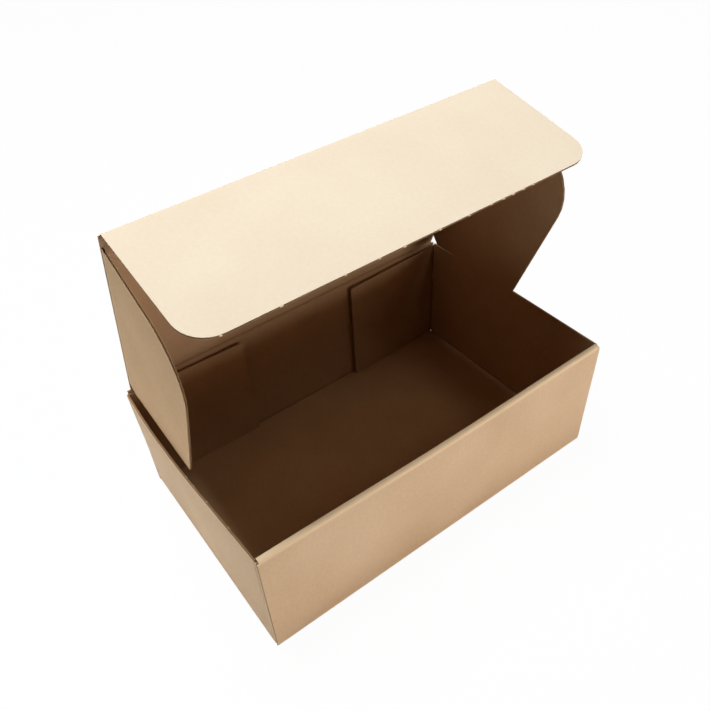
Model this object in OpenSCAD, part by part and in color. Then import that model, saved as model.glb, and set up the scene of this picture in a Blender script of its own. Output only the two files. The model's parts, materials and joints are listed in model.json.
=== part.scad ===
// Plain mailer box, folded from one sheet of fine corrugated kraft board.
// The tray has a rolled double front, and single side walls whose front flaps
// are held inside that front. Their back flaps stand loose at the back wall.
// The lid hangs on the back wall and stands open, leaning over the tray.
// Origin at the centre of the underside, X along the front, Y to the back, Z up.

/* [Tray] */
// Outside width of the tray, along its front
box_width = 250; // [160:1:400]
// Outside depth of the tray, from front to back
box_depth = 156; // [110:1:260]
// Height of the rolled front edge above the table
box_height = 87; // [50:1:140]
// How far the cut rims of the side walls stay below the rolled front
rim_drop = 1; // [0.5:0.1:3]

/* [Board] */
// Thickness of the board
board = 1.2; // [0.8:0.1:2]
// Inside radius of a fixed fold
fold_inside = 0.3; // [0.1:0.05:1]
// Outside radius of the two folds that roll the front over
roll_radius = 1.6; // [1.3:0.1:2.4]
// Room between layers of board that lie against each other
layer_gap = 0.15; // [0.05:0.05:0.5]
// Room between the two sides of a crease that swings
crease_gap = 0.05; // [0.02:0.01:0.1]

/* [Front lock] */
// Length of the side walls' front flaps inside the rolled front
corner_flap_length = 60; // [20:1:100]
// Slant cut off the free ends of those flaps
corner_flap_slant = 3; // [1:0.5:8]
// Width of each tab that locks the inner front panel into the bottom
tab_width = 30; // [12:1:45]
// Distance between the middles of the two tabs
tab_spacing = 130; // [60:1:150]
// How far the tabs stay above the underside
tab_recess = 0.2; // [0.1:0.1:0.6]
// Room around a tab in its slot
tab_room = 0.3; // [0.1:0.1:0.8]

/* [Lid] */
// How far each side crease of the lid lies inside the tray's outer face
lid_inset = 3; // [2.8:0.1:8]
// Room between the lid's underside and the rolled front when it is shut
lid_room = 0.3; // [0.3:0.1:1]
// Room between the tuck's crease and the inner front panel when the lid is shut
tuck_room = 6.9; // [4:0.1:12]
// Lean of the open lid, forward of upright
lid_lean = 21; // [0:1:40]

/* [Tuck flap] */
// Room between the tuck flap's edge and the bottom panel when it hangs straight
tuck_floor_room = 6.8; // [3:0.1:20]
// Angle from the lid's plane to the tuck flap as it stands
tuck_fold = 82; // [70:1:90]
// Radius of the tuck flap's two free corners
tuck_corner = 16; // [5:1:30]
// How much narrower than the lid the tuck flap is, at each end
tuck_trim = 0.7; // [0.6:0.1:4]
// Taper of each end of the tuck flap towards its free edge
tuck_taper = 1.5; // [0:0.1:6]
// Degrees that the tuck flap folds in for each degree that the lid shuts
tuck_follow = 0.52; // [0.5:0.01:0.8]

/* [Ears] */
// Room between an ear's edge and the bottom panel when the lid is shut
ear_floor_room = 8.3; // [4:0.1:30]
// Distance from the tuck's crease to an ear's front edge
ear_front_gap = 8; // [3:0.5:16]
// Distance from the lid's back crease to an ear's back edge
ear_back_gap = 1.5; // [1.5:0.5:12]
// Slant of an ear's back edge
ear_slant = 19.5; // [18:0.5:35]
// Radius of an ear's free front corner
ear_front_corner = 32; // [20:1:40]
// Radius of an ear's free back corner
ear_back_corner = 2; // [1:1:15]
// How far the ears spread beyond square to the lid
ear_splay = 0.6; // [0:0.1:0.8]

/* [Back flaps] */
// Length of the side walls' loose back flaps
flap_length = 79; // [30:1:110]
// Room kept between the two flaps in the middle of the back wall
flap_middle = 12; // [4:1:40]
// Room between a flap and the bottom panel
flap_floor_room = 0.6; // [0.3:0.1:3]
// How far a flap's top edge starts below the side wall's rim
flap_drop = 1.5; // [0.5:0.1:6]
// Fall of a flap's top edge towards its free end
flap_fall = 1; // [0:0.5:12]
// Radius of a flap's free corners
flap_corner = 1.5; // [1:0.5:12]
// Room between a flap and the back wall
flap_back_room = 0.3; // [0.3:0.1:1]
// Angle at which the flaps stand off the back wall
flap_stand = 1.5; // [0:0.5:15]

/* [Hidden] */
$fn = 48;
kraft = [0.78, 0.63, 0.45];
kraft_lid = [0.84, 0.70, 0.52];
kraft_flap = [0.74, 0.59, 0.41];
cut = 1;                                        // overshoot of a cutting body
half_w = box_width / 2;
half_d = box_depth / 2;
fold_outside = board + fold_inside;
rim = box_height - rim_drop;
front_thick = 3 * board + 2 * layer_gap;
pin = board / 2;                                // radius of a swinging crease
root = pin + crease_gap;                        // where a flap starts from its crease
roll_width = box_width - 2 * (board + 2 * layer_gap);
roll_in = roll_radius - board;
corner_flap_reach = min(corner_flap_length, half_w - fold_outside - flap_middle);
hinge_y = half_d - pin;
hinge_z = box_height + lid_room + pin;
lid_half = half_w - lid_inset;
lid_length = hinge_y + half_d - front_thick - pin - tuck_room;
lid_opening = 90 - lid_lean;
inner_height = box_height - board;
tuck_depth = inner_height - tuck_floor_room;
ear_depth = inner_height - ear_floor_room;
tuck_most = tuck_fold + tuck_follow * lid_opening;   // its fold with the lid shut
flap_y = half_d - 2 * board - flap_back_room;
flap_reach = min(flap_length, half_w - board - flap_middle / 2);
flap_low = board + flap_floor_room;
flap_high = rim - flap_drop;

// Profile drawn in the YZ plane, drawn out along X about the middle
module along_x(length) {
    rotate([90, 0, 90])
        linear_extrude(height = length, center = true)
            children();
}

// Profile drawn in the XZ plane, drawn out along Y from one place to another
module along_y(from, to) {
    translate([0, to, 0])
        rotate([90, 0, 0])
            linear_extrude(height = to - from)
                children();
}

// Quarter ring of board about the origin, in the quadrant given by two signs
module fold(inside, side_x, side_y) {
    outside = inside + board;
    intersection() {
        difference() {
            circle(r = outside);
            circle(r = inside);
        }
        translate([side_x < 0 ? -outside : 0, side_y < 0 ? -outside : 0])
            square(outside);
    }
}

// Both hands of a piece that is drawn on the left
module both_sides() {
    children();
    mirror([1, 0, 0])
        children();
}

// Bottom panel, up to its four folds
module bottom_panel() {
    translate([-half_w + fold_outside, -half_d + fold_outside, 0])
        cube([box_width - 2 * fold_outside, box_depth - 2 * fold_outside, board]);
}

// Outer front panel, from the bottom fold to where it starts to roll over
module front_outer() {
    along_x(box_width) {
        translate([-half_d + fold_outside, fold_outside])
            fold(fold_inside, -1, -1);
        translate([-half_d, fold_outside])
            square([board, box_height - roll_radius - fold_outside]);
    }
}

// Rolled top edge and inner front panel, which fit between the side walls
module front_roll() {
    along_x(roll_width) {
        translate([-half_d + roll_radius, box_height - roll_radius])
            fold(roll_in, -1, 1);
        translate([-half_d + roll_radius, box_height - board])
            square([front_thick - 2 * roll_radius, board]);
        translate([-half_d + front_thick - roll_radius, box_height - roll_radius])
            fold(roll_in, 1, 1);
        translate([-half_d + front_thick - board, board + layer_gap])
            square([board, box_height - roll_radius - board - layer_gap]);
    }
}

// Tab at the foot of the inner front panel, or the slot for it when room is given
module lock_tab(room, low) {
    translate([0, -half_d + front_thick - board / 2, 0])
        for (side = [-1, 1])
            translate([side * tab_spacing / 2 - tab_width / 2 - room, -board / 2 - room, low])
                cube([tab_width + 2 * room, board + 2 * room, board + layer_gap - low]);
}

// Left side wall with its bottom fold, ending at the two upright folds
module side_wall() {
    along_y(-half_d + board + layer_gap + fold_outside, flap_y) {
        translate([-half_w + fold_outside, fold_outside])
            fold(fold_inside, -1, -1);
        translate([-half_w, fold_outside])
            square([board, rim - fold_outside]);
    }
}

// Upright front fold of the left wall, and its flap between the front's layers
module corner_flap() {
    flap_front = -half_d + board + layer_gap;
    flap_top = box_height - board - 2 * layer_gap;
    flap_foot = board + 2 * layer_gap;
    translate([-half_w + fold_outside, flap_front + fold_outside, flap_foot])
        linear_extrude(height = flap_top - flap_foot)
            fold(fold_inside, -1, -1);
    along_y(flap_front, flap_front + board)
        polygon([
            [-half_w + fold_outside, flap_foot],
            [-half_w + fold_outside + corner_flap_reach, flap_foot + corner_flap_slant],
            [-half_w + fold_outside + corner_flap_reach, flap_top - corner_flap_slant],
            [-half_w + fold_outside, flap_top]
        ]);
}

// Rounded upright edge of the left wall that the back flap swings on
module flap_fold() {
    translate([-half_w + board, flap_y, flap_low])
        linear_extrude(height = flap_high - flap_low)
            intersection() {
                circle(r = board);
                translate([-board, 0])
                    square(board);
            }
}

// Back wall, with the raised strip along its top that carries the lid's crease
module back_wall() {
    along_x(box_width) {
        translate([half_d - fold_outside, fold_outside])
            fold(fold_inside, 1, -1);
        translate([half_d - board, fold_outside])
            square([board, rim - fold_outside]);
    }
    along_x(2 * lid_half) {
        translate([half_d - board, rim - cut])
            square([board, hinge_z - rim + cut]);
        translate([hinge_y, hinge_z])
            circle(r = pin);
    }
}

// Tray: everything that stays folded up as one
module tray() {
    color(kraft) {
        difference() {
            union() {
                bottom_panel();
                front_outer();
                back_wall();
                both_sides() {
                    side_wall();
                    corner_flap();
                    flap_fold();
                }
            }
            lock_tab(tab_room, -cut);
        }
        front_roll();
        lock_tab(0, tab_recess);
    }
}

// Puts a piece drawn with the shut lid, about its back crease, where the lid stands
module at_lid() {
    translate([0, hinge_y, hinge_z])
        rotate([-lid_opening, 0, 0])
            children();
}

// Flat panel of board with its mid-plane in XY
module panel() {
    translate([0, 0, -board / 2])
        linear_extrude(height = board)
            children();
}

// Lid panel with rounded creases at its front and under its ears
module lid_panel() {
    color(kraft_lid)
        at_lid() {
            panel()
                translate([-lid_half, -lid_length])
                    square([2 * lid_half, lid_length - root]);
            translate([0, -lid_length, 0])
                rotate([0, 90, 0])
                    cylinder(h = 2 * lid_half, r = pin, center = true);
            both_sides()
                translate([-lid_half, -ear_back_gap, 0])
                    rotate([90, 0, 0])
                        cylinder(h = lid_length - ear_back_gap - ear_front_gap, r = pin);
        }
}

// Outline of the tuck flap, from its crease along -Y
module tuck_outline() {
    top = lid_half - tuck_trim;
    foot = top - tuck_taper;
    slope = tuck_taper / tuck_depth;
    corner_y = -tuck_depth + tuck_corner;
    corner_x = top + slope * corner_y - tuck_corner * sqrt(1 + slope * slope);
    intersection() {
        polygon([
            [-top, 0],
            [-foot, -tuck_depth],
            [foot, -tuck_depth],
            [top, 0]
        ]);
        union() {
            translate([-top, corner_y])
                square([2 * top, -corner_y]);
            translate([-corner_x, -tuck_depth])
                square([2 * corner_x, tuck_corner]);
            for (side = [-1, 1])
                translate([side * corner_x, corner_y])
                    circle(r = tuck_corner);
        }
    }
}

// Where the tuck flap may start, at a height over its mid-plane, to fold in that far
function tuck_start(height) = (root + height * cos(tuck_most)) / sin(tuck_most);

// Tuck flap on the lid's front crease, pressed to a bevel on the crease's inner side
module tuck_flap() {
    inner = -board / 2 - crease_gap;
    bevel_top = root * (1 - sin(tuck_most)) / -cos(tuck_most);
    color(kraft_lid)
        at_lid()
            translate([0, -lid_length, 0])
                rotate([tuck_fold, 0, 0])
                    intersection() {
                        panel()
                            tuck_outline();
                        along_x(box_width)
                            polygon([
                                [-root, board],
                                [-root, bevel_top],
                                [-tuck_start(inner), inner],
                                [-box_height, inner],
                                [-box_height, board]
                            ]);
                    }
}

// Outline of the left ear, from its crease along -X, with Y along the lid
module ear_outline() {
    back = -ear_back_gap;
    front = -lid_length + ear_front_gap;
    back_low = back - ear_depth * tan(ear_slant);
    back_centre = back - (ear_depth - ear_back_corner) * tan(ear_slant) - ear_back_corner / cos(ear_slant);
    intersection() {
        translate([-ear_depth, front])
            square([ear_depth - root, back - front]);
        polygon([
            [cut, back + cut * tan(ear_slant)],
            [-ear_depth, back_low],
            [-ear_depth, front],
            [cut, front]
        ]);
        union() {
            translate([-ear_depth + ear_front_corner, front])
                square([ear_depth - ear_front_corner, back - front]);
            translate([-ear_depth, front + ear_front_corner])
                square([ear_depth, back_centre - front - ear_front_corner]);
            translate([-ear_depth + ear_front_corner, front + ear_front_corner])
                circle(r = ear_front_corner);
            translate([-ear_depth + ear_back_corner, back_centre])
                circle(r = ear_back_corner);
            translate([-ear_depth + ear_back_corner, back_centre])
                square([ear_depth, back - back_centre]);
        }
    }
}

// Left ear on the lid's side crease, folded down towards the tray
module ear() {
    color(kraft_lid)
        translate([-lid_half, 0, 0])
            rotate([0, -(90 - ear_splay), 0])
                panel()
                    ear_outline();
}

module ear_left() {
    at_lid()
        ear();
}

module ear_right() {
    at_lid()
        mirror([1, 0, 0])
            ear();
}

// Left back flap, swung in a little from the back wall
module back_flap() {
    fall = flap_fall / (flap_reach - flap_corner);
    color(kraft_flap)
        translate([-half_w + board, flap_y, 0])
            rotate([0, 0, -flap_stand])
                along_y(0, board)
                    difference() {
                        polygon([
                            [crease_gap, flap_low],
                            [flap_reach, flap_low],
                            [flap_reach, flap_high - flap_fall],
                            [crease_gap, flap_high]
                        ]);
                        translate([flap_reach - flap_corner, flap_high - flap_fall - flap_corner])
                            corner_cut(1);
                        translate([flap_reach - flap_corner, flap_low + flap_corner])
                            corner_cut(-1);
                    }
}

// What rounding takes off a square corner, at the right and above or below
module corner_cut(side) {
    difference() {
        translate([0, side < 0 ? -flap_corner - cut : 0])
            square(flap_corner + cut);
        circle(r = flap_corner);
    }
}

module back_flap_left() {
    back_flap();
}

module back_flap_right() {
    mirror([1, 0, 0])
        back_flap();
}

tray();
lid_panel();
tuck_flap();
ear_left();
ear_right();
back_flap_left();
back_flap_right();
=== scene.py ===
# %% [markdown]
# # A plain mailer box of kraft board
# The box is folded from one sheet of fine corrugated board. Such board is three papers: an
# outer liner, an inner liner and a wavy fluted sheet glued between them. This lesson makes
# each panel the way a box plant does. A flat blank is laid up from the three papers, trimmed
# with straight knives, and then folded along its creases.

# %% Load the frame
import json
import math
import random
import bmesh
import bpy
from mathutils import Matrix, Vector, noise


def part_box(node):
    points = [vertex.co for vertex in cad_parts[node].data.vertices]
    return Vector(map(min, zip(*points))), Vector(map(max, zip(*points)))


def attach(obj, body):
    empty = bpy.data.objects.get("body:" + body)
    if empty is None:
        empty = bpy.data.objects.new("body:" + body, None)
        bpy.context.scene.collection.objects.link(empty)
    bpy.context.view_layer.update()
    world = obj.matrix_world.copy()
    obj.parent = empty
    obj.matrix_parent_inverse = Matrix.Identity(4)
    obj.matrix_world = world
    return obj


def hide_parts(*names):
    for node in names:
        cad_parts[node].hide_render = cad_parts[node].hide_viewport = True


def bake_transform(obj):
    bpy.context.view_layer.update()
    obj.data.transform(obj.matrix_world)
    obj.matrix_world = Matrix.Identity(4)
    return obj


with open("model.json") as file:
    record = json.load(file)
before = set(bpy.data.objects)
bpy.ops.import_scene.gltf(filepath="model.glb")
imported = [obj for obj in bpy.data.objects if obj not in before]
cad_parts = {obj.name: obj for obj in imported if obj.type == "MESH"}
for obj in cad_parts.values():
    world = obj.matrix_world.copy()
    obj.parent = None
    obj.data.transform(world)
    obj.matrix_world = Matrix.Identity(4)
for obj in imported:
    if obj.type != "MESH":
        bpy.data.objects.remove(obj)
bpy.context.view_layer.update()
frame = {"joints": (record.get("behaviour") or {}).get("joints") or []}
joints = {joint["name"]: joint for joint in frame["joints"]}

# %% [markdown]
# ## Sizes
# Everything below is worked out in millimetres, as on a box maker's drawing, and turned into
# metres when a piece is finished. The outside sizes are read from the frame, so that the
# papers lie where the solids do, give or take the ripples, burrs and pushes below.

# %% Sizes of the box
MM = 0.001
tray_low, tray_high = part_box("tray")
half_w = tray_high.x / MM
half_d = tray_high.y / MM
hinge_y = joints["lid_swing"]["pos_m"][1] / MM
hinge_z = joints["lid_swing"]["pos_m"][2] / MM
crease_y = joints["tuck_fold"]["pos_m"][1] / MM
crease_z = joints["tuck_fold"]["pos_m"][2] / MM
lid_half = joints["right_ear_fold"]["pos_m"][0] / MM
flap_x = joints["right_back_flap_swing"]["pos_m"][0] / MM
flap_y = joints["right_back_flap_swing"]["pos_m"][1] / MM
lid_length = math.hypot(crease_y - hinge_y, crease_z - hinge_z)
lid_lean = math.degrees(math.atan2(hinge_y - crease_y, crease_z - hinge_z))
board = half_w - flap_x
rim = 86.0
top = rim + 1.0
fixed_inside = 0.3
roll_inside = 0.4
gap = 0.15
front_thick = 3 * board + 2 * gap
print("tray", half_w * 2, half_d * 2, "board", round(board, 2))
print("lid length", round(lid_length, 2), "lean", round(lid_lean, 2))

# %% [markdown]
# ## The three papers
# A liner is a thin flat sheet, and the fluted sheet is a sine wave with a pitch of 2.4 mm.
# Both start as a grid. The grid needs rows wherever something bends, so a blank is cut across
# at every fold, and close beside it. A cut with bisect_plane adds such a row and moves
# nothing, which is why it is used here in place of a finer grid all over.

# %% A grid of paper, cut across where it bends
LINER = 0.17
FLUTE_PAPER = 0.12
PITCH = 2.4
LINER_STEP = 5
FLUTE_STEP = 11
CROSS_STEP = 12
EDGE_ROW = 1.4
LONG_EDGE = 12
OUTER, INNER, FLUTED = 0, 1, 2


def paper(u_span, v_span, u_step, v_step):
    sheet = bmesh.new()
    wide = u_span[1] - u_span[0]
    deep = v_span[1] - v_span[0]
    middle = Vector(((u_span[0] + u_span[1]) / 2, (v_span[0] + v_span[1]) / 2, 0))
    place = Matrix.Translation(middle) @ Matrix.Diagonal((wide / 2, deep / 2, 1, 1))
    columns = max(1, round(wide / u_step))
    rows = max(1, round(deep / v_step))
    bmesh.ops.create_grid(sheet, x_segments=columns, y_segments=rows, size=1, matrix=place)
    return sheet


def cut(sheet, point, normal, keep_inner=False):
    everything = sheet.verts[:] + sheet.edges[:] + sheet.faces[:]
    bmesh.ops.bisect_plane(
        sheet, geom=everything, dist=0.001, plane_co=point, plane_no=normal, clear_outer=keep_inner
    )


def rows_at(sheet, places):
    for v in places:
        cut(sheet, (0, v, 0), (0, 1, 0))


# %% [markdown]
# ## Die knives
# A die cuts each outline with straight and bent knives. The knife shape is a single face
# whose corners are rounded with a vertex bevel. Each of its edges then trims the paper with
# one bisect_plane that throws away what lies outside, which works for every outline that
# bulges outwards all round. A slot or a step is cut with rows and columns, and the waste
# between them is deleted.

# %% Knives and waste
def die(corners, radii, segments=8):
    knife = bmesh.new()
    verts = [knife.verts.new((u, v, 0)) for u, v in corners]
    knife.faces.new(verts)
    for vert, radius in zip(verts, radii):
        if radius > 0:
            bmesh.ops.bevel(
                knife,
                geom=[vert],
                offset=radius,
                offset_type="OFFSET",
                segments=segments,
                profile=0.5,
                affect="VERTICES",
                material=-1,
            )
    knife.faces.ensure_lookup_table()
    loops = knife.faces[0].loops
    outline = [loop.vert.co.copy() for loop in loops]
    knife.free()
    return outline


def edges_of(outline):
    middle = sum(outline, Vector()) / len(outline)
    for a, b in zip(outline, outline[1:] + outline[:1]):
        outward = Vector((b.y - a.y, a.x - b.x, 0)).normalized()
        if outward.dot(a - middle) < 0:
            outward = -outward
        yield a, b, outward


def trim(sheet, outline, edge_rows=EDGE_ROW):
    for a, b, outward in edges_of(outline):
        cut(sheet, a, outward, keep_inner=True)
    for a, b, outward in edges_of(outline):
        if (b - a).length > LONG_EDGE and edge_rows:
            cut(sheet, a - outward * edge_rows, outward)


def remove_waste(sheet, boxes):
    for u0, u1, v0, v1 in boxes:
        for u in (u0, u1):
            cut(sheet, (u, 0, 0), (1, 0, 0))
        for v in (v0, v1):
            cut(sheet, (0, v, 0), (0, 1, 0))
    waste = []
    for face in sheet.faces:
        middle = face.calc_center_median()
        if any(u0 < middle.x < u1 and v0 < middle.y < v1 for u0, u1, v0, v1 in boxes):
            waste.append(face)
    bmesh.ops.delete(sheet, geom=waste, context="FACES")


# %% [markdown]
# ## Folding
# A fold path is a list of flat lengths and turns, as seen from the end of the crease. A point
# of the blank has u along the crease, v along the path, and w through the board, with the
# outer liner at plus w. Folding only looks up where the path is at v, and steps out by w. The
# board is pressed thinner where the creasing wheel ran, so w shrinks a little beside a turn.

# %% A path of flats and turns
class FoldPath:
    def __init__(self, start, heading, steps):
        self.parts = []
        place = Vector(start)
        angle = math.radians(heading)
        v = 0.0
        for step in steps:
            if step[0] == "flat":
                self.parts.append((v, v + step[1], place.copy(), angle, None))
                place += Vector((math.cos(angle), math.sin(angle))) * step[1]
                v += step[1]
            else:
                turn = math.radians(step[1])
                radius = step[2] + board / 2
                self.parts.append((v, v + turn * radius, place.copy(), angle, radius))
                centre = place - Vector((math.sin(angle), -math.cos(angle))) * radius
                angle += turn
                place = centre + Vector((math.sin(angle), -math.cos(angle))) * radius
                v += turn * radius
        self.length = v

    def turns(self):
        return [(part[0], part[1]) for part in self.parts if part[4] is not None]

    def start_of(self, number):
        return self.parts[number][0]

    def at(self, v, w):
        part = self.parts[0]
        for other in self.parts:
            if v >= other[0]:
                part = other
        begin, end, place, angle, radius = part
        if radius is None:
            along = Vector((math.cos(angle), math.sin(angle)))
            return place + along * (v - begin) + Vector((math.sin(angle), -math.cos(angle))) * w
        centre = place - Vector((math.sin(angle), -math.cos(angle))) * radius
        angle += (v - begin) / radius
        return centre + Vector((math.sin(angle), -math.cos(angle))) * (radius + w)

    def rows(self):
        places = []
        for begin, end in self.turns():
            count = max(3, round((end - begin) / 0.2))
            places += [begin + (end - begin) * n / count for n in range(count + 1)]
            places += [begin - 2.6, begin - 1.3, begin - 0.6, end + 0.6, end + 1.3, end + 2.6]
        return sorted(places)

    def crease(self, v):
        near = 9.0
        for begin, end in self.turns():
            near = min(near, max(begin - v, v - end, 0))
        return math.exp(-((near / 1.1) ** 2))


# %% [markdown]
# ## Laying up a panel
# A panel is made flat from its three papers. They are trimmed together, given their
# thickness with solidify, marked with a map of the flat blank for the finishes, and folded.
# Paper is never dead flat, so a slow ripple of a fraction of a millimetre goes through all
# three. The map's first direction runs along the flutes and its second across them.

# %% Lay up, fold and place a panel
CREASE_PINCH = 0.22
RIPPLE_LENGTH = 42
SHARP_ANGLE = 35


def lay_up(
    name, u_span, v_span, path, place, flutes_along, outline=None, waste=(), warp=None, ripple=0.16, seed=0
):
    layers = []
    flute_steps = (PITCH / 6, FLUTE_STEP) if flutes_along == "v" else (CROSS_STEP, PITCH / 6)
    for kind in (OUTER, INNER, FLUTED):
        u_step, v_step = flute_steps if kind == FLUTED else (LINER_STEP, LINER_STEP)
        sheet = paper(u_span, v_span, u_step, v_step)
        rows_at(sheet, [v for v in path.rows() if v_span[0] + 0.02 < v < v_span[1] - 0.02])
        if outline:
            trim(sheet, outline, 0 if kind == FLUTED else EDGE_ROW)
        if waste:
            remove_waste(sheet, waste)
        thickness = LINER
        if kind == FLUTED:
            thickness = FLUTE_PAPER
            swing = board / 2 - LINER - FLUTE_PAPER / 2
            for vert in sheet.verts:
                across = vert.co.x if flutes_along == "v" else vert.co.y
                vert.co.z = swing * math.sin(2 * math.pi * across / PITCH)
        bmesh.ops.recalc_face_normals(sheet, faces=sheet.faces[:])
        bmesh.ops.solidify(sheet, geom=sheet.faces[:], thickness=thickness)
        low = min(vert.co.z for vert in sheet.verts)
        high = max(vert.co.z for vert in sheet.verts)
        shift = {OUTER: board / 2 - high, INNER: -board / 2 - low, FLUTED: -(low + high) / 2}[kind]
        bmesh.ops.translate(sheet, verts=sheet.verts[:], vec=(0, 0, shift))
        layers.append((kind, sheet))
    mesh = bpy.data.meshes.new(name)
    joined = bmesh.new()
    for kind, sheet in layers:
        blank_map = sheet.loops.layers.uv.new("blank")
        crease = sheet.verts.layers.float.new("crease")
        for face in sheet.faces:
            face.material_index = kind
            face.smooth = True
            for loop in face.loops:
                u, v = loop.vert.co.x, loop.vert.co.y
                loop[blank_map].uv = (v * MM, u * MM) if flutes_along == "v" else (u * MM, v * MM)
        for vert in sheet.verts:
            u, v, w = vert.co
            pressed = path.crease(v)
            vert[crease] = pressed
            w *= 1 - CREASE_PINCH * pressed
            w += ripple * noise.noise(Vector((u / RIPPLE_LENGTH, v / RIPPLE_LENGTH, seed))) * (1 - pressed)
            p, q = path.at(v, w)
            spot = place(u, p, q)
            if warp:
                spot = warp(spot)
            vert.co = spot * MM
        bmesh.ops.recalc_face_normals(sheet, faces=sheet.faces[:])
        sheet.to_mesh(mesh)
        joined.from_mesh(mesh)
        sheet.free()
    joined.to_mesh(mesh)
    joined.free()
    mesh.set_sharp_from_angle(angle=math.radians(SHARP_ANGLE))
    piece = bpy.data.objects.new(name, mesh)
    bpy.context.scene.collection.objects.link(piece)
    print(name, "faces", len(mesh.polygons))
    return piece


# %% [markdown]
# ## How the used box has given way
# The tray in the photograph isn't square and stiff any more. Its left wall leans out, most
# of all about a third of the way from the back corner, and the front belly is pushed out a
# little in the middle. The side walls and the front get a smooth push that is nothing at the
# bottom fold.

# %% Pushes on the tray's walls
WALL_BULGE = 3.6
RIGHT_SHARE = 0.25
FRONT_BOW = 1.2


def bulge(y, z):
    along = (y + half_d) / (2 * half_d)
    shape = WALL_BULGE * math.sin(math.pi * min(1, max(0, along)) ** 1.25 * 0.86)
    return shape * (max(0, z) / rim) ** 1.4


def push_left(spot):
    return spot - Vector((bulge(spot.y, spot.z), 0, 0))


def push_right(spot):
    return spot + Vector((RIGHT_SHARE * bulge(spot.y, spot.z), 0, 0))


def push_front(spot):
    across = math.cos(math.pi * spot.x / (2 * half_w)) ** 2
    return spot - Vector((0, FRONT_BOW * across * (max(0, spot.z) / top) ** 1.2, 0))


# %% [markdown]
# ## The front: one panel that rolls over itself
# The front is the long panel of the blank. It comes up from the bottom, rolls over the side
# walls' front flaps and goes down again inside, where two tabs lock into slots. One fold
# path describes the whole roll. It is used for two panels, because the roll is cut narrower
# than the outer wall so that it can drop between the side walls.

# %% The front wall and its roll
front_path = FoldPath(
    (half_d - board - fixed_inside, board / 2),
    0,
    [
        ("turn", 90, fixed_inside),
        ("flat", top - board - roll_inside - board - fixed_inside),
        ("turn", 90, roll_inside),
        ("flat", front_thick - 2 * (board + roll_inside)),
        ("turn", 90, roll_inside),
        ("flat", top - board - roll_inside - 0.2),
    ],
)
roll_start = front_path.start_of(2)
tab_length = board + gap - 0.2
panel_end = front_path.length - tab_length
TAB_WIDE = 30
TAB_APART = 130
roll_half = half_w - board - 2 * gap


def at_front(u, p, q):
    return Vector((u, -p, q))


CORNER_SEAM = 0.5
front_half = half_w - CORNER_SEAM
front_wall = lay_up(
    "front_wall", (-front_half, front_half), (0, roll_start), front_path, at_front, "v", warp=push_front, seed=1
)
tab_edges = [
    -TAB_APART / 2 - TAB_WIDE / 2,
    -TAB_APART / 2 + TAB_WIDE / 2,
    TAB_APART / 2 - TAB_WIDE / 2,
    TAB_APART / 2 + TAB_WIDE / 2,
]
beside_tabs = [
    (-half_w, tab_edges[0], panel_end, front_path.length + 1),
    (tab_edges[1], tab_edges[2], panel_end, front_path.length + 1),
    (tab_edges[3], half_w, panel_end, front_path.length + 1),
]
front_roll = lay_up(
    "front_roll",
    (-roll_half, roll_half),
    (roll_start, front_path.length),
    front_path,
    at_front,
    "v",
    waste=beside_tabs,
    warp=push_front,
    seed=2,
)

# %% [markdown]
# ## The bottom
# The bottom is a flat panel with two slots that take the lock tabs. The slots are the waste
# between two rows and two columns.

# %% The bottom panel
bottom_edge = half_d - board - fixed_inside
slot_y = half_d - front_thick + board / 2
SLOT_ROOM = 0.3
slots = []
for side in (-1, 1):
    middle = side * TAB_APART / 2
    reach = TAB_WIDE / 2 + SLOT_ROOM
    slot_half = board / 2 + SLOT_ROOM
    slots.append((middle - reach, middle + reach, -slot_y - slot_half, -slot_y + slot_half))


def at_bottom(u, p, q):
    return Vector((u, p, q))


class FlatPath(FoldPath):
    def at(self, v, w):
        return Vector((v, board / 2 - w))


bottom_half = bottom_edge + half_w - half_d
bottom = lay_up(
    "bottom_panel",
    (-bottom_half, bottom_half),
    (-bottom_edge, bottom_edge),
    FlatPath((0, 0), 0, [("flat", 1)]),
    at_bottom,
    "v",
    waste=slots,
    ripple=0.0,
    seed=3,
)

# %% [markdown]
# ## The side walls and their front flaps
# Each side wall folds up from the bottom and ends in a cut rim. The flutes of the whole
# blank run from its back to its front, so on a side wall they lie along the rim. At the
# front the wall turns into a flap that the rolled front holds, which is mostly hidden, and
# at the back into a loose flap.

# %% Side walls
wall_start = half_d - board - gap - board - fixed_inside
wall_path = FoldPath(
    (half_w - board - fixed_inside, board / 2),
    0,
    [("turn", 90, fixed_inside), ("flat", rim - board - fixed_inside)],
)


def at_left(u, p, q):
    return Vector((-p, u, q))


def at_right(u, p, q):
    return Vector((p, u, q))


wall_long = (-wall_start, flap_y)
wall_tall = (0, wall_path.length)
left_wall = lay_up("left_wall", wall_long, wall_tall, wall_path, at_left, "u", warp=push_left, seed=4)
right_wall = lay_up("right_wall", wall_long, wall_tall, wall_path, at_right, "u", warp=push_right, seed=5)

# %% Front flaps of the side walls, between the layers of the front
CORNER_FLAP = 60
SLANT = 3
corner_path = FoldPath((wall_start, 0), 0, [("turn", 90, fixed_inside), ("flat", CORNER_FLAP)])
flap_foot = board + 2 * gap
flap_head = top - board - 2 * gap
corner_outline = die(
    [
        (flap_foot, 0),
        (flap_head, 0),
        (flap_head - SLANT, corner_path.length),
        (flap_foot + SLANT, corner_path.length),
    ],
    [0, 0, 0, 0],
)


def corner_left(u, p, q):
    return Vector((-half_w + board / 2 + q, -p, u))


def corner_right(u, p, q):
    return Vector((half_w - board / 2 - q, -p, u))


corner_flaps = []
for name, place, seed in (("corner_flap_left", corner_left, 6), ("corner_flap_right", corner_right, 7)):
    corner_flap = lay_up(
        name,
        (flap_foot, flap_head),
        (0, corner_path.length),
        corner_path,
        place,
        "v",
        outline=corner_outline,
        warp=push_front,
        ripple=0,
        seed=seed,
    )
    corner_flaps.append(corner_flap)

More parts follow.
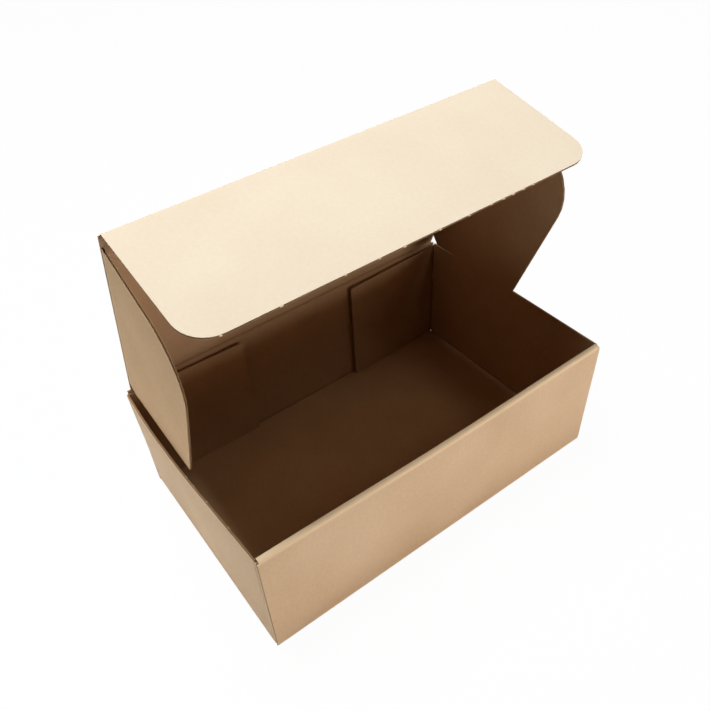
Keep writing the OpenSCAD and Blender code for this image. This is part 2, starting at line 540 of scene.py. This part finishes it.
# %% [markdown]
# ## The back wall
# The back wall folds up behind and stops level with the side walls' rims. Its middle part
# goes on as the lid, which is the next panel.

# %% Back wall
back_path = FoldPath(
    (half_d - board - fixed_inside, board / 2),
    0,
    [("turn", 90, fixed_inside), ("flat", rim - board - fixed_inside)],
)


def at_back(u, p, q):
    return Vector((u, p, q))


back_wall = lay_up(
    "back_wall", (-half_w, half_w), (0, back_path.length), back_path, at_back, "v", ripple=0.1, seed=8
)
for piece in (front_wall, front_roll, bottom, left_wall, right_wall, *corner_flaps, back_wall):
    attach(piece, "box_tray")
    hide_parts("tray")

# %% [markdown]
# ## The lid and its tuck flap
# The lid starts as a low strip on the back wall, bends forward at its crease and ends at the
# tuck's crease. Both panels share one fold path again.

# %% Lid and tuck
TUCK_FOLD = 82
lid_radius = fixed_inside + board / 2
lid_tangent = lid_radius * math.tan(math.radians(lid_lean / 2))
tuck_tangent = lid_radius * math.tan(math.radians(TUCK_FOLD / 2))
TUCK_DEEP = 79
lid_path = FoldPath(
    (hinge_y, rim),
    90,
    [
        ("flat", hinge_z - rim - lid_tangent),
        ("turn", lid_lean, fixed_inside),
        ("flat", lid_length - lid_tangent - tuck_tangent),
        ("turn", TUCK_FOLD, fixed_inside),
        ("flat", TUCK_DEEP - tuck_tangent),
    ],
)
tuck_start = lid_path.start_of(3)
lid_edge = lid_half + board / 2
lid = lay_up("lid", (-lid_edge, lid_edge), (0, tuck_start), lid_path, at_back, "v", seed=9)
TUCK_TRIM = 0.7
TUCK_TAPER = 1.5
TUCK_CORNER = 16
tuck_top = lid_half - TUCK_TRIM
tuck_outline = die(
    [
        (-tuck_top, tuck_start),
        (tuck_top, tuck_start),
        (tuck_top - TUCK_TAPER, lid_path.length),
        (-tuck_top + TUCK_TAPER, lid_path.length),
    ],
    [0, 0, TUCK_CORNER, TUCK_CORNER],
)
tuck_span = (tuck_start, lid_path.length)
tuck = lay_up("tuck", (-tuck_top, tuck_top), tuck_span, lid_path, at_back, "v", outline=tuck_outline, seed=10)
lean = math.radians(lid_lean)
up_lid = Vector((0, -math.sin(lean), math.cos(lean)))
into_box = Vector((0, -math.cos(lean), -math.sin(lean)))
hinge = Vector((0, hinge_y, hinge_z))
crease = Vector((0, crease_y, crease_z))
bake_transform(lid)
tuck_dir = math.radians(lid_lean + TUCK_FOLD)
along_tuck = Vector((0, -math.sin(tuck_dir), math.cos(tuck_dir)))
fold_from = (crease - up_lid * tuck_tangent) * MM
fold_to = (crease + along_tuck * tuck_tangent) * MM
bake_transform(tuck)
for piece, node in ((lid, "lid_panel"), (tuck, "tuck_flap")):
    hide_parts(node)

# %% [markdown]
# ## The ears
# Each ear folds down from the lid's side crease. Its flutes run along the crease, so their
# open ends show as dots on the ear's front edge. The back edge slants so that it clears the
# tray's rim, and starts with a notch at the hinge. The outline bulges outwards all round, so
# one die of a few knives cuts it. The ear turns whole with its body, bend and all. A blend
# with the lid would bend the crease better, but it loses its place when the ear is turned
# by a fraction of a degree while the lid is shut.

# %% Ears
EAR_SPLAY = 0.6
EAR_DEEP = 77.5
EAR_FRONT_GAP = 8
EAR_BACK_GAP = 1.5
EAR_SLANT = 19.5
EAR_FRONT_CORNER = 32
EAR_BACK_CORNER = 2
EAR_NOTCH = 8
ear_tangent = lid_radius * math.tan(math.radians((90 - EAR_SPLAY) / 2))
ear_path = FoldPath(
    (lid_half - ear_tangent, 0),
    0,
    [("turn", 90 - EAR_SPLAY, fixed_inside), ("flat", EAR_DEEP - ear_tangent)],
)
ear_front = lid_length - EAR_FRONT_GAP
slant = math.tan(math.radians(EAR_SLANT))
slant_end = EAR_BACK_GAP + ear_path.length * slant
notch_end = EAR_BACK_GAP + EAR_NOTCH * slant
ear_outline = die(
    [
        (EAR_BACK_GAP + EAR_NOTCH, 0),
        (ear_front, 0),
        (ear_front, ear_path.length),
        (slant_end, ear_path.length),
        (notch_end, EAR_NOTCH),
    ],
    [0, 0, EAR_FRONT_CORNER, EAR_BACK_CORNER, 0],
)


def ear_place(side):
    def place(u, p, q):
        return hinge + up_lid * u + into_box * q + Vector((side * p, 0, 0))
    return place


for side, name, body in ((-1, "ear_left", "left_ear"), (1, "ear_right", "right_ear")):
    ear = lay_up(
        name + "_board",
        (EAR_BACK_GAP, ear_front),
        (0, ear_path.length),
        ear_path,
        ear_place(side),
        "u",
        outline=ear_outline,
        seed=11 + side,
    )
    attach(ear, body)
    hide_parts(name)

# %% [markdown]
# ## The loose back flaps
# The side walls end in flaps that stand at the back wall. Nothing holds them, so they stand
# off it by a degree or two. They turn about the inner edge of the side wall's back corner, so
# the bend's centre is that edge itself.

# %% Back flaps
FLAP_LONG = 79
FLAP_STAND = 1.5
FLAP_LOW = board + 0.6
FLAP_HIGH = rim - 1.5
FLAP_FALL = 1
FLAP_CORNER = 1.5
FLAP_GIVE = 30
HALF_HEIGHT = 40
flap_path = FoldPath((flap_y, 0), 0, [("turn", 90 + FLAP_STAND, 0), ("flat", FLAP_LONG)])
flap_outline = die(
    [
        (FLAP_LOW, 0),
        (FLAP_HIGH, 0),
        (FLAP_HIGH - FLAP_FALL, flap_path.length),
        (FLAP_LOW, flap_path.length),
    ],
    [0, 0, FLAP_CORNER, FLAP_CORNER],
)


def flap_place(side):
    def place(u, p, q):
        return Vector((side * (half_w - board / 2 - q), p, u))
    return place


def flap_push(side):
    def push(spot):
        inward = half_w - abs(spot.x)
        share = max(0, 1 - inward / FLAP_GIVE) ** 2
        strength = 1 if side < 0 else RIGHT_SHARE
        return spot + Vector((side * strength * bulge(flap_y, spot.z) * share, 0, 0))
    return push


for side, name, body in ((-1, "back_flap_left", "left_back_flap"), (1, "back_flap_right", "right_back_flap")):
    flap = lay_up(
        name + "_board",
        (FLAP_LOW, FLAP_HIGH),
        (0, flap_path.length),
        flap_path,
        flap_place(side),
        "v",
        outline=flap_outline,
        warp=flap_push(side),
        seed=15 + side,
    )
    start = Vector((side * (half_w - board / 2), flap_y, HALF_HEIGHT))
    turned = math.radians(90 + FLAP_STAND)
    step_out = Vector((side * board / 2 * math.cos(turned), board / 2 * math.sin(turned), 0))
    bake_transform(flap)
    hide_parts(name)

# %% [markdown]
# ## Burrs left by the die
# A cutting knife has small gaps in it, called nicks, that hold the blank in its sheet until
# it is stripped out. Each leaves a torn tuft of liner on the edge. They are small bevelled
# slips of paper here, each a little different, pushed into the edge they belong to.

# %% Torn tufts on the tuck's edge and the left rim
TUFT_ROUND = 0.07


def burrs(name, spots, along, outward, body, node, seed):
    chance = random.Random(seed)
    tufts = bmesh.new()
    across = along.cross(outward)
    for spot in spots:
        size = (chance.uniform(1.0, 1.9), chance.uniform(0.9, 1.5), LINER * chance.uniform(1.2, 1.9))
        axes = Matrix((along, outward, across)).transposed().to_4x4()
        twist = Matrix.Rotation(math.radians(chance.uniform(-24, 24)), 4, "Z")
        curl = Matrix.Rotation(math.radians(chance.uniform(-14, 14)), 4, "X")
        shape = Matrix.Diagonal((size[0] * MM, size[1] * MM, size[2] * MM, 1))
        place = Matrix.Translation(spot * MM) @ axes @ (twist @ curl) @ shape
        bmesh.ops.create_cube(tufts, size=1, matrix=place)
    bmesh.ops.bevel(
        tufts, geom=tufts.edges[:], offset=TUFT_ROUND * MM, segments=1, profile=0.5, affect="EDGES", material=-1
    )
    mesh = bpy.data.meshes.new(name)
    tufts.to_mesh(mesh)
    tufts.free()
    piece = bpy.data.objects.new(name, mesh)
    bpy.context.scene.collection.objects.link(piece)
    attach(piece, body)
    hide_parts(node)
    print(name, len(spots))


TUCK_NICKS = (-105.9, -76.5, -43.0, -23.9, -9.4, 11.8, 30.1, 44.9, 53.0, 59.6, 66.6, 73.4)
edge_spot = lid_path.at(lid_path.length, board / 2 - LINER)
tuck_spots = [Vector((u, edge_spot.x, edge_spot.y)) + along_tuck * 0.2 for u in TUCK_NICKS]
burrs("tuck_burrs", tuck_spots, Vector((1, 0, 0)), along_tuck, "tuck", "tuck_flap", 21)
RIM_NICKS = (56.4, 40.7, -7.3, -15.4, -29.0, -50.8)
rim_spots = [push_left(Vector((-half_w + board - LINER, y, rim + 0.1))) for y in RIM_NICKS]
burrs("rim_burrs", rim_spots, Vector((0, 1, 0)), Vector((0, 0, 1)), "box_tray", "tray", 22)

# %% [markdown]
# ## Writing finishes as sums
# A finish is a small network of nodes. The class below wraps one socket, so that a formula
# on it can be written as Python. Each sum adds its Math node, and every other node comes from
# one method that takes the node's type, its settings and its sockets.

# %% One socket, with sums
class Wire:
    def __init__(self, tree, socket=None):
        self.tree = tree
        self.socket = socket

    def node(self, kind, settings=None, sockets=None, out=0):
        made = self.tree.nodes.new(kind)
        for name, value in (settings or {}).items():
            setattr(made, name, value)
        for key, value in (sockets or {}).items():
            if isinstance(value, Wire):
                self.tree.links.new(value.socket, made.inputs[key])
            else:
                made.inputs[key].default_value = value
        return Wire(self.tree, made.outputs[out] if made.outputs else None)

    def math(self, operation, first, second=0.0):
        return self.node("ShaderNodeMath", {"operation": operation}, {0: first, 1: second})

    def __add__(self, other):
        return self.math("ADD", self, other)

    def __radd__(self, other):
        return self.math("ADD", other, self)

    def __mul__(self, other):
        return self.math("MULTIPLY", self, other)

    def __rmul__(self, other):
        return self.math("MULTIPLY", other, self)

    def blend(self, amount, first, second):
        return self.node("ShaderNodeMix", {"data_type": "RGBA"}, {0: amount, 6: first, 7: second}, out=2)


# %% [markdown]
# ## Kraft paper
# Kraft liner is brown paper of long unbleached fibres. Close up it is cloudy, with short
# darker and paler fibres that mostly run across the flutes. The flutes show through as a
# faint washboard. The finish reads the map of the flat blank, so the fibres run on over
# every fold. An attribute that folding left behind tints the folds with painted light: a
# paler painted highlight on outside folds and painted shade on inside ones. The lid's
# outside fades from the walls' brown at the hinge to a paler tone at the tuck, a painted
# highlight for the tuck's top, which faces the overhead lamp.

# %% Kraft finishes
def srgb(red, green, blue):
    linear = []
    for part in (red, green, blue):
        share = part / 255
        linear.append(share / 12.92 if part < 11 else ((share + 0.055) / 1.055) ** 2.4)
    return (*linear, 1.0)


def kraft(name, pale, deep, fleck, fold_light_tone, washboard=0.05, highlight_tones=None):
    material = bpy.data.materials.new(name)
    material.use_nodes = True
    tree = material.node_tree
    tree.nodes.clear()
    wire = Wire(tree)
    blank = wire.node("ShaderNodeUVMap", {"uv_map": "blank"})
    place = wire.node("ShaderNodeTexCoord", out=3)
    clouds = wire.node("ShaderNodeTexNoise", sockets={"Vector": place, "Scale": 22.0, "Detail": 3.0})
    mottle = wire.node(
        "ShaderNodeTexNoise", sockets={"Vector": blank, "Scale": 420.0, "Detail": 4.0, "Roughness": 0.6}
    )
    stretched = wire.node("ShaderNodeMapping", sockets={"Vector": blank, "Scale": (1900.0, 420.0, 1.0)})
    fibres = wire.node(
        "ShaderNodeTexNoise", sockets={"Vector": stretched, "Scale": 1.0, "Detail": 3.0, "Roughness": 0.7}
    )
    tone = clouds * 0.45 + mottle * 0.35 + fibres * 0.35
    spread = wire.node("ShaderNodeMapRange", {"clamp": True}, {0: tone, 1: 0.42, 2: 0.74, 3: 0.0, 4: 1.0})
    body = wire.blend(spread, deep, pale)
    flecks = wire.node("ShaderNodeMapRange", {"clamp": True}, {0: fibres, 1: 0.64, 2: 0.76, 3: 0.0, 4: 0.45})
    body = wire.blend(flecks, body, fleck)
    parts = wire.node("ShaderNodeSeparateXYZ", sockets={0: blank}, out=1)
    waves = wire.math("SINE", parts * (2 * math.pi / (PITCH * MM)))
    # Painted highlight: the lid's outside turns paler along the lid towards the tuck, standing for the overhead
    # lamp on the tuck's top.
    if highlight_tones:
        along = wire.node("ShaderNodeSeparateXYZ", sockets={0: blank}, out=0)
        highlight_ramp = wire.node(
            "ShaderNodeMapRange",
            {"clamp": True, "interpolation_type": "SMOOTHSTEP"},
            {0: along, 1: 0.0, 2: lid_length * MM, 3: 0.0, 4: 1.0},
        )
        body = wire.blend(highlight_ramp, body, wire.blend(spread, highlight_tones[1], highlight_tones[0]))
    # Painted light at the folds: each finish tints its folds, paler on the outside as a painted highlight and
    # darker on the inside as painted shade.
    fold_light_mask = wire.node("ShaderNodeAttribute", {"attribute_name": "crease"}, out=2)
    body = wire.blend(fold_light_mask * 0.75, body, fold_light_tone)
    height = waves * washboard + mottle * 0.25 + fibres * 0.3
    bump = wire.node("ShaderNodeBump", sockets={"Strength": 0.35, "Distance": 0.00012, "Height": height})
    shader = wire.node(
        "ShaderNodeBsdfPrincipled",
        sockets={"Base Color": body, "Roughness": 0.86, "Normal": bump, "Specular IOR Level": 0.22},
    )
    wire.node("ShaderNodeOutputMaterial", sockets={0: shader})
    return material


# The last colour is a painted highlight on the outside folds, brightest on the top of the rolled front.
outer_kraft = kraft(
    "kraft_outside", srgb(226, 197, 162), srgb(211, 179, 142), srgb(166, 130, 94), srgb(247, 220, 180)
)
# The last colour is painted shade in the inside folds.
inner_kraft = kraft(
    "kraft_inside", srgb(190, 156, 120), srgb(174, 140, 104), srgb(136, 104, 72), srgb(150, 118, 84)
)
# The lid's fold tone is a painted highlight, and the two paler tones towards the tuck are a painted highlight
# on the tuck's lit top.
lid_kraft = kraft(
    "kraft_lid_outside_painted_highlight",
    srgb(226, 197, 162),
    srgb(211, 179, 142),
    srgb(166, 130, 94),
    srgb(236, 216, 186),
    highlight_tones=(srgb(238, 222, 197), srgb(231, 213, 185)),
)
# A darker, warmer copy of the outside kraft: painted shade on the ears. Its last colour is a painted highlight
# on their fold.
shaded_ear_kraft = kraft(
    "kraft_ear_outside_painted_shade", srgb(222, 187, 143), srgb(207, 169, 126), srgb(168, 128, 88), srgb(222, 194, 160)
)
# Its last colour darkens the folds as painted shade.
flute_kraft = kraft(
    "fluted_paper",
    srgb(182, 148, 108),
    srgb(156, 122, 84),
    srgb(120, 90, 60),
    srgb(156, 122, 84),
    washboard=0.0,
)
for piece in [o for o in bpy.context.scene.objects if o.type == "MESH"]:
    outside = outer_kraft
    if piece.name in ("lid", "tuck", "tuck_burrs"):
        outside = lid_kraft
    elif piece.name.startswith("ear"):
        outside = shaded_ear_kraft
    for finish in (outside, inner_kraft, flute_kraft):
        piece.data.materials.append(finish)

# %% [markdown]
# ## Floor, light and camera
# The box stands on a pale floor that runs out of sight. The camera sees the floor as nearly
# white, with a little of its true shade left so that the box keeps its shadow. One broad
# lamp overhead does most of the work and leaves the tray in the tuck's shadow. Low lamps at
# the left and the front lift the outer walls, and a weak high one opens up the inside.

# %% Floor and sky
floor_mesh = bpy.data.meshes.new("floor")
floor_sheet = bmesh.new()
bmesh.ops.create_grid(floor_sheet, x_segments=1, y_segments=1, size=3)
floor_sheet.to_mesh(floor_mesh)
floor_sheet.free()
floor = bpy.data.objects.new("floor", floor_mesh)
bpy.context.scene.collection.objects.link(floor)
floor_finish = bpy.data.materials.new("pale_floor")
floor_finish.use_nodes = True
floor_finish.node_tree.nodes.clear()
wire = Wire(floor_finish.node_tree)
grain = wire.node("ShaderNodeTexNoise", sockets={"Scale": 9.0})
shade = wire.blend(grain, (0.86, 0.86, 0.86, 1.0), (0.90, 0.90, 0.90, 1.0))
lit = wire.node("ShaderNodeBsdfDiffuse", sockets={"Color": shade})
glow = wire.node("ShaderNodeEmission", sockets={"Color": (1, 1, 1, 1), "Strength": 1.0})
path_of_light = wire.node("ShaderNodeLightPath")
seen = path_of_light * 0.97
mixed = wire.node("ShaderNodeMixShader", sockets={0: seen, 1: lit, 2: glow})
wire.node("ShaderNodeOutputMaterial", sockets={0: mixed})
floor_mesh.materials.append(floor_finish)

world = bpy.data.worlds.new("studio")
bpy.context.scene.world = world
world.use_nodes = True
world.node_tree.nodes.clear()
wire = Wire(world.node_tree)
sky = wire.node("ShaderNodeBackground", sockets={"Color": (1.0, 0.9, 0.8, 1.0), "Strength": 0.01})
white = wire.node("ShaderNodeBackground", sockets={"Color": (1, 1, 1, 1), "Strength": 1.0})
both = wire.node("ShaderNodeMixShader", sockets={0: wire.node("ShaderNodeLightPath"), 1: sky, 2: white})
wire.node("ShaderNodeOutputWorld", sockets={0: both})


# %% Lamps
def lamp(name, place, target, size, watts, colour):
    data = bpy.data.lights.new(name, "AREA")
    data.shape = "DISK"
    data.size = size
    data.energy = watts
    data.color = colour
    made = bpy.data.objects.new(name, data)
    made.location = place
    made.rotation_euler = (Vector(target) - Vector(place)).to_track_quat("-Z", "Y").to_euler()
    bpy.context.scene.collection.objects.link(made)


lamp("key_overhead", (-0.15, 0.35, 1.6), (0, 0, 0.1), 0.7, 27, (0.92, 0.95, 1.0))
lamp("left_low", (-0.42, 0.03, 0.03), (-0.12, 0, 0.04), 0.12, 0.28, (0.96, 0.98, 1.0))
lamp("front_warm", (0.5, -1.6, 0.2), (0, 0, 0.05), 0.7, 2.6, (1.0, 0.6, 0.36))
lamp("front_low", (0.4, -1.0, 0.06), (0.05, 0, 0.04), 0.25, 5, (0.98, 0.95, 0.94))
lamp("high_front", (0.7, -0.9, 1.3), (0, 0, 0), 0.5, 1.7, (1.0, 0.95, 0.8))

# %% [markdown]
# The camera's place, turn and lens were found by matching the box's corners, rims and creases
# with where the photograph shows them. The frame is square, 710 by 710.

# %% Camera
camera_data = bpy.data.cameras.new("camera")
camera_data.sensor_width = 36
camera_data.lens = 36.335
camera_data.shift_x = 0.03697
camera_data.shift_y = 0.03101
camera_data.clip_start = 0.01
camera = bpy.data.objects.new("camera", camera_data)
camera.location = (-0.18735, -0.26567, 0.38922)
camera.rotation_euler = [math.radians(v) for v in (46.398, 4.224, -35.354)]
bpy.context.scene.collection.objects.link(camera)
bpy.context.scene.camera = camera
bpy.context.scene.view_settings.view_transform = "Standard"
